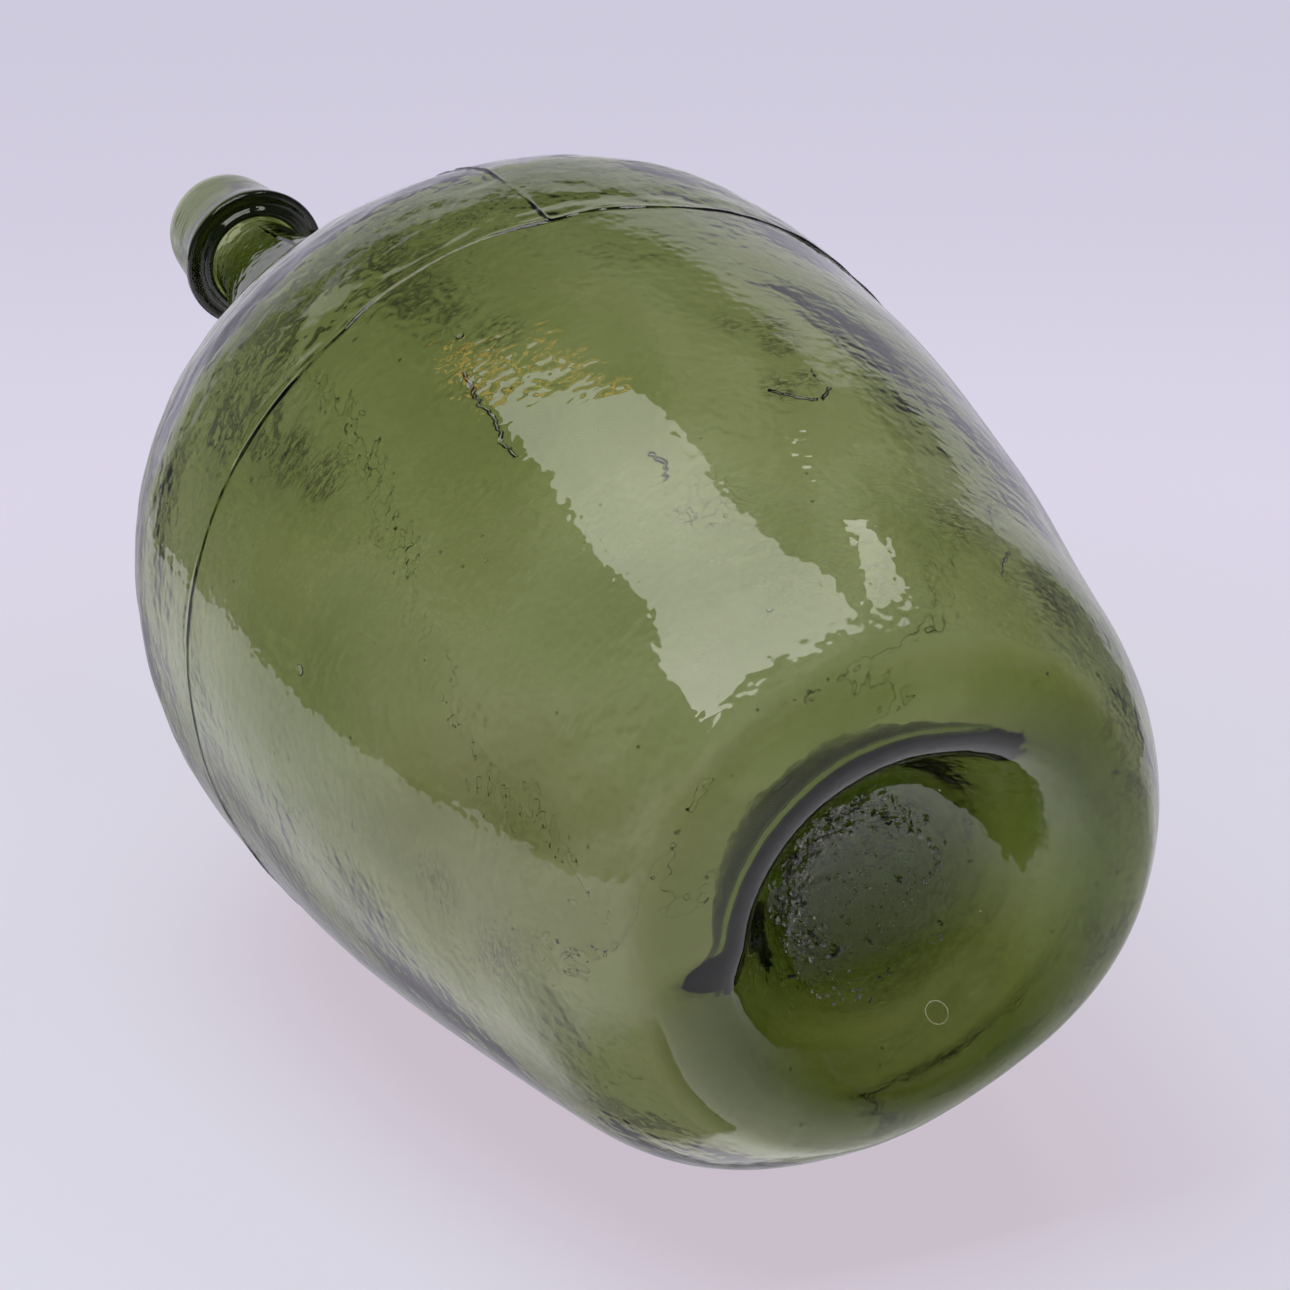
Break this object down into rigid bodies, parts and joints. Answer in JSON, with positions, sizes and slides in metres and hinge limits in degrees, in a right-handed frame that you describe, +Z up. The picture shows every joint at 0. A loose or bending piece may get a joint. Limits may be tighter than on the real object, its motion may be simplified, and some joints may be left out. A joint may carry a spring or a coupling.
{
  "type": "glass demijohn",
  "caption": "Olive-green mould-blown glass demijohn with a round body, long tapering neck, tooled collar lip, domed push-up base and ring pontil scar.",
  "frame": {"origin": "on the body's axis, level with the flat resting ring under the base", "axes": "+Z up along the bottle's axis towards the mouth; +X towards one of the two shoulder mould seams"},
  "size_m": [0.24, 0.2379, 0.515],
  "materials": {
    "body_glass": "glossy olive-green blown glass, wavy, with small bubbles, mould seams and light wear",
    "collar_glass": "glossy olive-green glass, tooled smooth",
    "scar_glass": "rough broken glass with chips"
  },
  "bodies": {
    "root": {"bottle_body": "body_glass", "applied_collar": "collar_glass", "pontil_scar": "scar_glass"}
  },
  "joints": []
}
